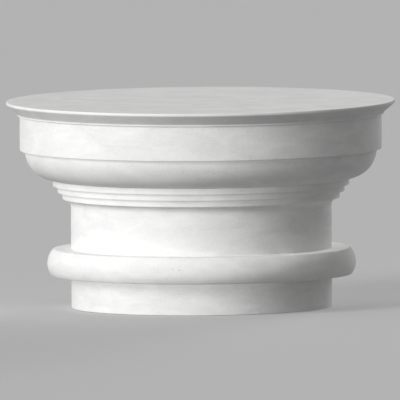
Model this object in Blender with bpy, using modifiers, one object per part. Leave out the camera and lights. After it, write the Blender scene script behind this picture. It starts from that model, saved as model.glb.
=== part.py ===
"""Column capital: a round Doric capital, with its astragal and a short length of the shaft below.

The whole capital is one turned stone. Lengths are in metres. It stands on its lower bed, with the
origin at the centre of that bed and +Z up. Every moulding has its own height and its own
projection beyond the moulding below it, so the section is stacked upward from the shaft.
"""

import math

import bpy

# Shaft and neck
NECK_RADIUS = 0.1300
SHAFT_HEIGHT = 0.0325
NECK_HEIGHT = 0.0419

# Astragal: a round ring between two flat ledges. Its widest line sits a little below mid-height.
ASTRAGAL_LOWER_LEDGE = 0.0198
ASTRAGAL_LOWER_BULGE = 0.0041
ASTRAGAL_LOWER_HEIGHT = 0.0122
ASTRAGAL_UPPER_BULGE = 0.0061
ASTRAGAL_UPPER_HEIGHT = 0.0145

# Cavetto and annulets at the top of the neck
CAVETTO_RADIUS = 0.0077
SOFFIT_WIDTH = 0.0006
ANNULET_COUNT = 3
ANNULET_HEIGHT = 0.0065
ANNULET_PROJECTION = 0.00475

# Ovolo, the large round under the abacus
OVOLO_HEIGHT = 0.0293
OVOLO_PROJECTION = 0.0277

# Abacus with its crowning bead, splay and rim
ABACUS_OVERHANG = 0.0050
ABACUS_HEIGHT = 0.0348
BEAD_PROJECTION = 0.0026
BEAD_HEIGHT = 0.0018
SPLAY_PROJECTION = 0.0108
SPLAY_HEIGHT = 0.0093
RIM_HEIGHT = 0.0027

# Facets
SIDES = 96
OVOLO_FACETS = 10
ASTRAGAL_FACETS = 5
CAVETTO_FACETS = 5
SHARP_ANGLE = math.radians(30)

# Finish of the stone
STONE_COLOUR = (0.84, 0.84, 0.83, 1.0)
STONE_ROUGHNESS = 0.7
STONE_METALLIC = 0.0

MERGE_DISTANCE = 0.00001


def clear_scene():
    """Remove every object that the file starts with."""
    for item in list(bpy.data.objects):
        bpy.data.objects.remove(item)


class Section:
    """The half section of the capital, as (radius, height) points from the lower bed up."""

    def __init__(self):
        self.radius = 0.0
        self.height = 0.0
        self.points = [(0.0, 0.0)]

    def move(self, outward, upward):
        """Draw a straight line from the last point."""
        self.radius += outward
        self.height += upward
        self.points.append((self.radius, self.height))

    def rise(self, upward):
        """Draw a vertical face."""
        self.move(0.0, upward)

    def step(self, outward):
        """Draw a level ledge or soffit, outward or, if negative, inward."""
        self.move(outward, 0.0)

    def swell_out(self, outward, upward, facets):
        """Draw a convex arc that leans outward and ends upright."""
        arc_radius, sweep = upright_arc(outward, upward)
        start_radius, start_height = self.radius, self.height
        for facet in range(1, facets + 1):
            left_to_turn = sweep * (1 - facet / facets)
            self.radius = start_radius + outward - arc_radius * (1 - math.cos(left_to_turn))
            self.height = start_height + upward - arc_radius * math.sin(left_to_turn)
            self.points.append((self.radius, self.height))

    def swell_in(self, inward, upward, facets):
        """Draw a convex arc that starts upright and leans inward."""
        arc_radius, sweep = upright_arc(inward, upward)
        start_radius, start_height = self.radius, self.height
        for facet in range(1, facets + 1):
            turned = sweep * facet / facets
            self.radius = start_radius - arc_radius * (1 - math.cos(turned))
            self.height = start_height + arc_radius * math.sin(turned)
            self.points.append((self.radius, self.height))

    def hollow_out(self, arc_radius, facets):
        """Draw a concave quarter circle that starts upright and ends level."""
        start_radius, start_height = self.radius, self.height
        for facet in range(1, facets + 1):
            turned = math.pi / 2 * facet / facets
            self.radius = start_radius + arc_radius * (1 - math.cos(turned))
            self.height = start_height + arc_radius * math.sin(turned)
            self.points.append((self.radius, self.height))

    def close(self):
        """Draw the level upper bed in to the axis."""
        self.step(-self.radius)


def upright_arc(projection, height):
    """Radius and sweep of the arc that is upright at one end and spans this projection and height."""
    arc_radius = (height**2 + projection**2) / (2 * projection)
    sweep = math.atan2(height, arc_radius - projection)
    return arc_radius, sweep


def draw_shaft(section):
    """The lower bed and the length of shaft below the astragal."""
    section.step(NECK_RADIUS)
    section.rise(SHAFT_HEIGHT)


def draw_astragal(section):
    """The ring at the foot of the neck."""
    section.step(ASTRAGAL_LOWER_LEDGE)
    section.swell_out(ASTRAGAL_LOWER_BULGE, ASTRAGAL_LOWER_HEIGHT, ASTRAGAL_FACETS)
    section.swell_in(ASTRAGAL_UPPER_BULGE, ASTRAGAL_UPPER_HEIGHT, ASTRAGAL_FACETS)
    upper_ledge = section.radius - NECK_RADIUS
    section.step(-upper_ledge)


def draw_neck(section):
    """The plain neck and the cavetto that spreads it to the annulets."""
    section.rise(NECK_HEIGHT)
    section.hollow_out(CAVETTO_RADIUS, CAVETTO_FACETS)
    section.step(SOFFIT_WIDTH)


def draw_annulets(section):
    """The stepped fillets under the ovolo."""
    for annulet in range(ANNULET_COUNT):
        if annulet > 0:
            section.step(ANNULET_PROJECTION)
        section.rise(ANNULET_HEIGHT)


def draw_ovolo(section):
    """The large quarter round that carries the abacus."""
    section.swell_out(OVOLO_PROJECTION, OVOLO_HEIGHT, OVOLO_FACETS)


def draw_abacus(section):
    """The round abacus, its bead, its splay and the rim of the upper bed."""
    section.step(ABACUS_OVERHANG)
    section.rise(ABACUS_HEIGHT)
    section.step(BEAD_PROJECTION)
    section.rise(BEAD_HEIGHT)
    section.move(SPLAY_PROJECTION, SPLAY_HEIGHT)
    section.rise(RIM_HEIGHT)


def capital_section():
    """The whole half section, from the centre of the lower bed to the centre of the upper bed."""
    section = Section()
    draw_shaft(section)
    draw_astragal(section)
    draw_neck(section)
    draw_annulets(section)
    draw_ovolo(section)
    draw_abacus(section)
    section.close()
    return section.points


def stone_material():
    """Fine white stone with a rubbed finish."""
    material = bpy.data.materials.new("white_stone")
    material.use_nodes = True
    shader = material.node_tree.nodes["Principled BSDF"]
    shader.inputs["Base Color"].default_value = STONE_COLOUR
    shader.inputs["Roughness"].default_value = STONE_ROUGHNESS
    shader.inputs["Metallic"].default_value = STONE_METALLIC
    return material


def turned_object(name, points, material, collection):
    """A solid of revolution about Z, from a half section given from the bottom up."""
    downward = [(radius, 0.0, height) for radius, height in reversed(points)]
    edges = [(index, index + 1) for index in range(len(downward) - 1)]
    outline = bpy.data.meshes.new(name)
    outline.from_pydata(downward, edges, [])
    body = bpy.data.objects.new(name, outline)
    collection.objects.link(body)
    screw = body.modifiers.new("turn", "SCREW")
    screw.axis = "Z"
    screw.angle = 2 * math.pi
    screw.steps = SIDES
    screw.render_steps = SIDES
    screw.use_merge_vertices = True
    screw.merge_threshold = MERGE_DISTANCE
    evaluated = body.evaluated_get(bpy.context.evaluated_depsgraph_get())
    turned = bpy.data.meshes.new_from_object(evaluated)
    body.modifiers.clear()
    body.data = turned
    turned.name = name
    bpy.data.meshes.remove(outline)
    turned.materials.append(material)
    turned.shade_smooth()
    turned.set_sharp_from_angle(angle=SHARP_ANGLE)
    return body


def build():
    """Make the capital in a collection of its own."""
    clear_scene()
    collection = bpy.data.collections.new("column_capital")
    bpy.context.scene.collection.children.link(collection)
    turned_object("capital", capital_section(), stone_material(), collection)


build()
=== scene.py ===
"""The looks of the column capital: its rubbed white stone, a pale floor, soft light and the camera.

Lengths are in metres, +Z is up, and the capital stands on its lower bed at the origin. The stone is
one finely turned surface. Its section is read from the frame, so that it always has the CAD model's
sizes. Only its arcs are made round again, its arrises are softened and a little worn, and the whole
surface has the slight waves of a hand finish.
"""

import math
from typing import NamedTuple

import bpy
import numpy as np
from mathutils import Matrix, Vector, noise


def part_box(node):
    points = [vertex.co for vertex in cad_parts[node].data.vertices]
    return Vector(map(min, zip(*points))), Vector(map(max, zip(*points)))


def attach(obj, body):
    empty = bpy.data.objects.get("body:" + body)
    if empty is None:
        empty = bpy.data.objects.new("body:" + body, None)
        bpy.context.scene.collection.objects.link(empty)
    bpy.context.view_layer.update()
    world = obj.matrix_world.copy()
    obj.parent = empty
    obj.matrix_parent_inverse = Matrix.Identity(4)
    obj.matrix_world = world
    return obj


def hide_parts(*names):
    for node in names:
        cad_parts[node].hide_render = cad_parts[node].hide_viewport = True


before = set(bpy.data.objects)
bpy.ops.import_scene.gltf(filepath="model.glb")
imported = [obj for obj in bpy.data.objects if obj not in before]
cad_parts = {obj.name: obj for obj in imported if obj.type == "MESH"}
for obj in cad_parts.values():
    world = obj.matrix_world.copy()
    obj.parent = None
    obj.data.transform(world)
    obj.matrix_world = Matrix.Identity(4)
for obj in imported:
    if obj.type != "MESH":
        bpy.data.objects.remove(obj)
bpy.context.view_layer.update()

NODE = "capital"
SLOT = "white_stone"

# Reading the section from the frame
SAME_PLACE = 0.000005
PLACE_DIGITS = 6
FEWEST_ARC_FACETS = 3

# Turned surface: the fine section that it starts from, and how close the turned points lie on it
SIDES = 384
FINE_STEP = 0.0001
BLUR_REACH = 4
ARRIS_SOFTNESS = 0.00035
WORN_SOFTNESS = 0.00090
PLAIN_SPACING = 0.005
TURN_PER_POINT = math.radians(15)
CROWDING = 0.0006

# Masks for arrises and hollows, the hollow one placing painted shade: the curvature where each starts
# and where it is full, in 1/m
ARRIS_MASK = "arris"
HOLLOW_MASK = "hollow"
ARRIS_CURVATURE = (150.0, 700.0)
HOLLOW_CURVATURE = (60.0, 500.0)
ARRIS_SPREAD = 0.0008
HOLLOW_SPREAD = 0.0020

# Hand finish: the length of each wave in the surface and how far it sinks
FINISH_WAVES = ((0.036, 0.00012), (0.009, 0.00003))

# Wear along the arrises: the length of each wave in it, and its share of the way from crisp to worn
WEAR_WAVES = ((0.024, 0.6), (0.009, 0.4))

# Stone colours, among them the painted shade of hollows and pits, and the roughness of plain stone and
# of flecks
STONE_PALE = (0.885, 0.885, 0.876, 1.0)
STONE_DEEP = (0.765, 0.766, 0.763, 1.0)
STONE_ARRIS = (0.910, 0.910, 0.902, 1.0)
# Painted shade for the hollows of the section
HOLLOW_PAINTED_SHADE = (0.690, 0.687, 0.677, 1.0)
# Painted shade inside the pits
PIT_PAINTED_SHADE = (0.480, 0.475, 0.464, 1.0)
STONE_ROUGHNESS = (0.66, 0.84)
STONE_GLOSS = 0.30

# Stone pattern: each feature's size, the range of its noise that counts, its share and its height
CLOUD_SIZE = 0.038
CLOUD_FLATNESS = 2.6
CLOUD_CURL = 0.9
CLOUD_DETAIL = 6
CLOUD_RANGE = (0.34, 0.66)
FINE_DETAIL = 3
FLECK_SIZE = 0.0045
FLECK_RANGE = (0.50, 0.70)
FLECK_SHARE = 0.30
FLECK_HEIGHT = 0.00016
CRYSTAL_SIZE = 0.0009
CRYSTAL_RANGE = (0.25, 0.75)
CRYSTAL_SHARE = 0.55
GRAIN_SIZE = 0.0013
GRAIN_HEIGHT = 0.00010
RING_SIZE = 0.0008
RING_HEIGHT = 0.00006
RUBBED_SIZE = 0.033
RUBBED_RANGE = (0.40, 0.62)
# Share of the painted shade in the hollows
HOLLOW_SHADE_SHARE = 0.30
ARRIS_SHARE = 0.55

# Pits: a wall goes from its rim to its foot, as shares of the spacing. Pits lie in patches.
PIT_SPACING = 0.0038
PIT_WALL = (0.16, 0.08)
PIT_PATCH_SIZE = 0.014
PIT_PATCH_RANGE = (0.60, 0.68)
# Share of painted shade in the pits' colour; their depth is real relief
PIT_SHADE_SHARE = 0.70
PIT_DEPTH = 0.00030

# Ranges that the noise and the masks are stretched from or to
NONE_TO_ALL = (0.0, 1.0)
ALL_TO_NONE = (1.0, 0.0)
DOWN_TO_UP = (-1.0, 1.0)

# Sockets of the colour mix, which have no name of their own
MIX_FIRST = 6
MIX_SECOND = 7
MIX_RESULT = 2

# Floor, a hair below the lower bed so that the two faces don't meet
FLOOR_HALF_SIZE = 9.0
FLOOR_DROP = 0.0002
FLOOR_COLOUR = (0.62, 0.62, 0.62, 1.0)
FLOOR_GLOSS = 0.0

# Lights, key and fill both at the front. An azimuth is how far left of the camera a light stands.
KEY_STRENGTH = 1.12
FILL_STRENGTH = 1.94
FRONT_SOFTNESS = math.radians(26)
FRONT_AZIMUTH = math.radians(50)
FRONT_ELEVATION = math.radians(23)
BACK_STRENGTH = 1.54
BACK_SOFTNESS = math.radians(20)
BACK_AZIMUTH = math.radians(-158)
BACK_ELEVATION = math.radians(7)

# Sky and backdrop
SKY_BELOW = 0.184
SKY_ABOVE = 0.304
BACKDROP_STRENGTH = 0.450
WHITE = (1.0, 1.0, 1.0, 1.0)

# Camera, from the photograph: its scale, its tilt and where the centre of the upper bed shows
PHOTO_PIXELS = 400
PIXELS_PER_METRE = 1003.5
TOP_CENTRE_PIXEL = (200.46, 100.29)
CAMERA_ELEVATION = math.radians(4.0)
CAMERA_ROLL = math.radians(-0.427)
CAMERA_DISTANCE = 3.0


class SectionPoint(NamedTuple):
    """A point that is turned: its place, its outward normal, its way to where the stone is fully
    worn, and how much it is arris or hollow."""

    radius: float
    height: float
    normal_out: float
    normal_up: float
    wear_out: float
    wear_up: float
    arris: float
    hollow: float


def half_section(node):
    """The node's outline over +X, as (radius, height) points from the lower bed up to the upper."""
    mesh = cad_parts[node].data
    links = {}
    for edge in mesh.edges:
        ends = [mesh.vertices[index].co for index in edge.vertices]
        if any(abs(end.y) > SAME_PLACE or end.x < SAME_PLACE for end in ends):
            continue
        one_end, other_end = [(round(end.x, PLACE_DIGITS), round(end.z, PLACE_DIGITS)) for end in ends]
        links.setdefault(one_end, set()).add(other_end)
        links.setdefault(other_end, set()).add(one_end)
    open_ends = [spot for spot in links if len(links[spot]) == 1]
    outline = [min(open_ends, key=lambda spot: spot[1])]
    onward = links[outline[0]]
    while onward:
        outline.extend(onward)
        onward = links[outline[-1]] - set(outline)
    return outline


def arc_through(first, middle, last):
    """Close points along the arc from first to last through middle, without the first point."""
    (ax, ay), (bx, by), (cx, cy) = first, middle, last
    twice_area = 2 * (ax * (by - cy) + bx * (cy - ay) + cx * (ay - by))
    a_square, b_square, c_square = ax**2 + ay**2, bx**2 + by**2, cx**2 + cy**2
    centre_x = (a_square * (by - cy) + b_square * (cy - ay) + c_square * (ay - by)) / twice_area
    centre_y = (a_square * (cx - bx) + b_square * (ax - cx) + c_square * (bx - ax)) / twice_area
    radius = math.dist(first, (centre_x, centre_y))
    start = math.atan2(ay - centre_y, ax - centre_x)
    sweep = math.remainder(math.atan2(cy - centre_y, cx - centre_x) - start, 2 * math.pi)
    count = math.ceil(abs(sweep) * radius / FINE_STEP)
    turns = [start + sweep * step / count for step in range(1, count + 1)]
    spokes = [(radius * math.cos(turn), radius * math.sin(turn)) for turn in turns]
    return [(centre_x + across, centre_y + along) for across, along in spokes]


def with_round_arcs(outline):
    """The outline with every run of equal facets made into the arc that they stand for."""
    lengths = [math.dist(first, last) for first, last in zip(outline, outline[1:])]
    rounded = [outline[0]]
    start = 0
    while start < len(lengths):
        end = start + 1
        while end < len(lengths) and abs(lengths[end] - lengths[start]) < SAME_PLACE:
            end += 1
        if end - start >= FEWEST_ARC_FACETS:
            middle = (start + end) // 2
            rounded.extend(arc_through(outline[start], outline[middle], outline[end]))
        else:
            rounded.extend(outline[start + 1:end + 1])
        start = end
    return rounded


def blurred(values, length):
    """Values along the fine section, blurred over a length, with both ends carried straight on."""
    spread = length / FINE_STEP
    half = math.ceil(BLUR_REACH * spread)
    weights = np.exp(-0.5 * (np.arange(-half, half + 1) / spread) ** 2)
    padded = np.pad(values, half, mode="reflect", reflect_type="odd")
    return np.convolve(padded, weights / weights.sum(), mode="valid")


def ramp(values, limits):
    """0 below the first limit, 1 above the second, and straight between."""
    low, high = limits
    return np.clip((values - low) / (high - low), 0, 1)


def fine_section(outline, softness):
    """The whole section at an even fine step, from axis to axis, with its arrises softened."""
    closed = np.array([(0.0, outline[0][1]), *outline, (0.0, outline[-1][1])])
    along = np.concatenate([[0], np.cumsum(np.hypot(*np.diff(closed, axis=0).T))])
    places = np.linspace(0, along[-1], round(along[-1] / FINE_STEP) + 1)
    return [blurred(np.interp(places, along, values), softness) for values in closed.T]


def section_points():
    """The points that are turned, from axis to axis, closest together where the section bends."""
    outline = with_round_arcs(half_section(NODE))
    radius, height = fine_section(outline, ARRIS_SOFTNESS)
    worn_radius, worn_height = fine_section(outline, WORN_SOFTNESS)
    heading = np.unwrap(np.arctan2(np.gradient(height), np.gradient(radius)))
    curvature = np.gradient(heading) / FINE_STEP
    arris = blurred(ramp(curvature, ARRIS_CURVATURE), ARRIS_SPREAD)
    hollow = blurred(ramp(-curvature, HOLLOW_CURVATURE), HOLLOW_SPREAD)
    wear_out = arris * (worn_radius - radius)
    wear_up = arris * (worn_height - height)
    turn_density = blurred(np.abs(curvature), CROWDING) / TURN_PER_POINT
    points_so_far = np.cumsum((turn_density + 1 / PLAIN_SPACING) * FINE_STEP)
    points_so_far -= points_so_far[0]
    wanted = np.linspace(0, points_so_far[-1], math.ceil(points_so_far[-1]) + 1)
    columns = (radius, height, np.sin(heading), -np.cos(heading), wear_out, wear_up, arris, hollow)
    chosen = [np.interp(wanted, points_so_far, column) for column in columns]
    return [SectionPoint(*row) for row in zip(*chosen)]


def ripple(place, waves):
    """Waves of these lengths added up at a place. Each runs from nothing to its own height."""
    return sum(top * (1 + noise.noise(place / length)) / 2 for length, top in waves)


def turned(point, east, north):
    """Where a point of the section goes once it is turned to a direction, worn and hand finished."""
    place = Vector((point.radius * east, point.radius * north, point.height))
    normal = Vector((point.normal_out * east, point.normal_out * north, point.normal_up))
    wear = Vector((point.wear_out * east, point.wear_out * north, point.wear_up))
    return place + wear * ripple(place, WEAR_WAVES) - normal * ripple(place, FINISH_WAVES)


def turned_vertices(section):
    """One vertex on the axis, a ring for each point between the two ends, and one on the axis."""
    azimuths = [2 * math.pi * side / SIDES for side in range(SIDES)]
    directions = [(math.cos(azimuth), math.sin(azimuth)) for azimuth in azimuths]
    first, *between, last = section
    rings = [turned(point, *direction) for point in between for direction in directions]
    return [Vector((0, 0, first.height)), *rings, Vector((0, 0, last.height))]


def turned_faces(ring_count):
    """A fan at each end of the axis, and a band of four-sided faces between each two rings."""
    faces = []
    last_vertex = 1 + ring_count * SIDES
    last_ring = last_vertex - SIDES
    for side in range(SIDES):
        following = (side + 1) % SIDES
        faces.append((0, 1 + following, 1 + side))
        for start in range(1, last_ring, SIDES):
            above = start + SIDES
            faces.append((start + side, start + following, above + following, above + side))
        faces.append((last_vertex, last_ring + side, last_ring + following))
    return faces


def carry_mask(mesh, name, section_values):
    """Give each vertex the value of its point on the section, which the material reads by name."""
    vertex_counts = [1] + [SIDES] * (len(section_values) - 2) + [1]
    values = np.repeat(section_values, vertex_counts)
    layer = mesh.attributes.new(name, "FLOAT", "POINT")
    layer.data.foreach_set("value", values.astype(np.float32))


def turned_stone(name, material):
    """The whole capital as one closed turned surface."""
    section = section_points()
    mesh = bpy.data.meshes.new(name)
    mesh.from_pydata(turned_vertices(section), [], turned_faces(len(section) - 2))
    mesh.materials.append(material)
    mesh.shade_smooth()
    carry_mask(mesh, ARRIS_MASK, [point.arris for point in section])
    carry_mask(mesh, HOLLOW_MASK, [point.hollow for point in section])
    stone = bpy.data.objects.new(name, mesh)
    bpy.context.scene.collection.objects.link(stone)
    return stone


class Graph:
    """The nodes of a material or a world, made and joined in one call each."""

    def __init__(self, owner, shader):
        owner.use_nodes = True
        self.tree = owner.node_tree
        self.shader = self.tree.nodes[shader]

    def add(self, kind, output, sockets, **settings):
        """Add a node, set or join its sockets, and return one of its outputs."""
        node = self.tree.nodes.new(kind)
        for setting, value in settings.items():
            setattr(node, setting, value)
        for socket, value in sockets.items():
            self.feed(node.inputs[socket], value)
        return node.outputs[output]

    def feed(self, socket, value):
        """Join an output to a socket, or set the socket's value."""
        if isinstance(value, bpy.types.NodeSocket):
            self.tree.links.new(value, socket)
        else:
            socket.default_value = value

    def object_place(self):
        """Where a point is on the object, in metres."""
        return self.add("ShaderNodeTexCoord", "Object", {})

    def mask(self, name):
        """A value that the mesh carries."""
        return self.add("ShaderNodeAttribute", "Fac", {}, attribute_name=name)

    def split(self, place):
        """The three coordinates of a place, by name."""
        node = self.tree.nodes.new("ShaderNodeSeparateXYZ")
        self.feed(node.inputs["Vector"], place)
        return node.outputs

    def flattened(self, place, times):
        """A place whose height counts several times, so that a pattern on it lies in flat beds."""
        sockets = {0: place, 1: (1, 1, times)}
        return self.add("ShaderNodeVectorMath", "Vector", sockets, operation="MULTIPLY")

    def ring_place(self, place):
        """A point's radius and height alone, so that a pattern on them runs round the axis."""
        parts = self.split(place)
        level = self.add("ShaderNodeCombineXYZ", "Vector", {"X": parts["X"], "Y": parts["Y"]})
        radius = self.add("ShaderNodeVectorMath", "Value", {0: level}, operation="LENGTH")
        return self.add("ShaderNodeCombineXYZ", "Vector", {"X": radius, "Z": parts["Z"]})

    def noise(self, place, size, detail=FINE_DETAIL, curl=0.0):
        """Noise whose features have a size in metres, and are curled or not."""
        sockets = {"Vector": place, "Scale": 1 / size, "Detail": detail, "Distortion": curl}
        return self.add("ShaderNodeTexNoise", "Fac", sockets)

    def cells(self, place, size, output):
        """Close-packed cells of a size in metres: each one's colour, or the distance to its centre."""
        return self.add("ShaderNodeTexVoronoi", output, {"Vector": place, "Scale": 1 / size})

    def stretch(self, value, old, new=NONE_TO_ALL):
        """A value's old range stretched to the new one, and held inside it."""
        limits = {"From Min": old[0], "From Max": old[1], "To Min": new[0], "To Max": new[1]}
        return self.add("ShaderNodeMapRange", "Result", {"Value": value, **limits})

    def times(self, first, second):
        """Two values multiplied."""
        return self.add("ShaderNodeMath", "Value", {0: first, 1: second}, operation="MULTIPLY")

    def mix(self, share, first, second):
        """The first colour, with a share of the second."""
        sockets = {"Factor": share, MIX_FIRST: first, MIX_SECOND: second}
        return self.add("ShaderNodeMix", MIX_RESULT, sockets, data_type="RGBA")

    def bump(self, height, distance, normal=None):
        """A relief of a height in metres, on top of another relief."""
        sockets = {"Height": height, "Distance": distance}
        if normal is not None:
            sockets["Normal"] = normal
        return self.add("ShaderNodeBump", "Normal", sockets)


def stone_material():
    """Fine white stone, rubbed matt: clouds along its bed, grain, few pits, faint turning marks, with
    painted shade in its hollows and pits.
    """
    material = bpy.data.materials.new(SLOT)
    graph = Graph(material, "Principled BSDF")
    place = graph.object_place()
    beds = graph.flattened(place, CLOUD_FLATNESS)
    clouds = graph.stretch(graph.noise(beds, CLOUD_SIZE, CLOUD_DETAIL, CLOUD_CURL), CLOUD_RANGE)
    flecks = graph.noise(place, FLECK_SIZE)
    grain = graph.noise(place, GRAIN_SIZE)
    crystals = graph.cells(place, CRYSTAL_SIZE, "Color")
    rings = graph.noise(graph.ring_place(place), RING_SIZE)
    unrubbed = graph.stretch(graph.noise(place, RUBBED_SIZE), RUBBED_RANGE)
    pit_walls = graph.stretch(graph.cells(place, PIT_SPACING, "Distance"), PIT_WALL)
    pit_patches = graph.stretch(graph.noise(place, PIT_PATCH_SIZE), PIT_PATCH_RANGE)
    pits = graph.times(pit_walls, pit_patches)
    not_pits = graph.stretch(pits, ALL_TO_NONE)
    fleck_share = graph.stretch(flecks, FLECK_RANGE, (0.0, FLECK_SHARE))
    crystal_share = graph.stretch(crystals, CRYSTAL_RANGE, (0.0, CRYSTAL_SHARE))

    colour = graph.mix(clouds, STONE_DEEP, STONE_PALE)
    colour = graph.mix(fleck_share, colour, STONE_DEEP)
    colour = graph.mix(crystal_share, colour, STONE_PALE)
    # Painted shade: the colour darkens where the section is hollow
    colour = graph.mix(graph.times(graph.mask(HOLLOW_MASK), HOLLOW_SHADE_SHARE), colour, HOLLOW_PAINTED_SHADE)
    colour = graph.mix(graph.times(graph.mask(ARRIS_MASK), ARRIS_SHARE), colour, STONE_ARRIS)
    # The pits are sunk as real relief below; their darker colour is painted shade
    colour = graph.mix(graph.times(pits, PIT_SHADE_SHARE), colour, PIT_PAINTED_SHADE)
    graph.feed(graph.shader.inputs["Base Color"], colour)

    roughness = graph.stretch(flecks, FLECK_RANGE, STONE_ROUGHNESS)
    graph.feed(graph.shader.inputs["Roughness"], roughness)
    graph.feed(graph.shader.inputs["Specular IOR Level"], STONE_GLOSS)

    relief = graph.bump(grain, GRAIN_HEIGHT)
    relief = graph.bump(flecks, FLECK_HEIGHT, relief)
    relief = graph.bump(graph.times(rings, unrubbed), RING_HEIGHT, relief)
    relief = graph.bump(not_pits, PIT_DEPTH, relief)
    graph.feed(graph.shader.inputs["Normal"], relief)
    return material


def capital_stone():
    """The finished stone, in the place of the CAD model's node."""
    stone = turned_stone("capital_stone", stone_material())
    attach(stone, "root")
    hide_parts(NODE)


def floor():
    """A plain pale floor, wide enough to fill the view. It throws no light up at the stone."""
    material = bpy.data.materials.new("floor")
    graph = Graph(material, "Principled BSDF")
    graph.feed(graph.shader.inputs["Base Color"], FLOOR_COLOUR)
    graph.feed(graph.shader.inputs["Specular IOR Level"], FLOOR_GLOSS)
    bpy.ops.mesh.primitive_plane_add(size=2 * FLOOR_HALF_SIZE, location=(0, 0, -FLOOR_DROP))
    plane = bpy.context.object
    plane.name = "floor"
    plane.data.materials.append(material)
    plane.visible_diffuse = False


def far_light(name, strength, softness, azimuth, elevation):
    """A broad white light, far off, so that it lights the whole scene alike."""
    light = bpy.data.lights.new(name, "SUN")
    light.energy = strength
    light.angle = softness
    lamp = bpy.data.objects.new(name, light)
    turn = Matrix.Rotation(-azimuth, 3, "Z") @ Matrix.Rotation(-elevation, 3, "X")
    towards_light = turn @ Vector((0, -1, 0))
    lamp.rotation_euler = towards_light.to_track_quat("Z", "Y").to_euler()
    bpy.context.scene.collection.objects.link(lamp)
    return lamp


def lights():
    """A soft key at the left, a fill in the same place without shadows, and a low one behind."""
    far_light("key", KEY_STRENGTH, FRONT_SOFTNESS, FRONT_AZIMUTH, FRONT_ELEVATION)
    fill = far_light("fill", FILL_STRENGTH, FRONT_SOFTNESS, FRONT_AZIMUTH, FRONT_ELEVATION)
    fill.data.use_shadow = False
    fill.visible_glossy = False
    back = far_light("back", BACK_STRENGTH, BACK_SOFTNESS, BACK_AZIMUTH, BACK_ELEVATION)
    back.visible_glossy = False


def sky():
    """White light from all round, brighter from above. The camera sees it as an even backdrop."""
    world = bpy.data.worlds.new("sky")
    graph = Graph(world, "Background")
    direction = graph.add("ShaderNodeTexCoord", "Generated", {})
    light = graph.stretch(graph.split(direction)["Z"], DOWN_TO_UP, (SKY_BELOW, SKY_ABOVE))
    seen = graph.add("ShaderNodeLightPath", "Is Camera Ray", {})
    strength = graph.stretch(seen, NONE_TO_ALL, (light, BACKDROP_STRENGTH))
    graph.feed(graph.shader.inputs["Color"], WHITE)
    graph.feed(graph.shader.inputs["Strength"], strength)
    bpy.context.scene.world = world


def camera():
    """The photograph's view: no perspective, a little from above, tilted by its small roll."""
    top = Vector((0, 0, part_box(NODE)[1].z))
    upright = Matrix.Rotation(math.pi / 2 - CAMERA_ELEVATION, 4, "X")
    turn = upright @ Matrix.Rotation(CAMERA_ROLL, 4, "Z")
    right_of_centre = (TOP_CENTRE_PIXEL[0] - PHOTO_PIXELS / 2) / PIXELS_PER_METRE
    above_centre = (PHOTO_PIXELS / 2 - TOP_CENTRE_PIXEL[1]) / PIXELS_PER_METRE
    top_from_camera = Vector((right_of_centre, above_centre, -CAMERA_DISTANCE))
    data = bpy.data.cameras.new("camera")
    data.type = "ORTHO"
    data.ortho_scale = PHOTO_PIXELS / PIXELS_PER_METRE
    view = bpy.data.objects.new("camera", data)
    view.matrix_world = Matrix.Translation(top - turn.to_3x3() @ top_from_camera) @ turn
    bpy.context.scene.collection.objects.link(view)
    bpy.context.scene.camera = view


capital_stone()
floor()
lights()
sky()
camera()
bpy.context.scene.view_settings.view_transform = "Standard"
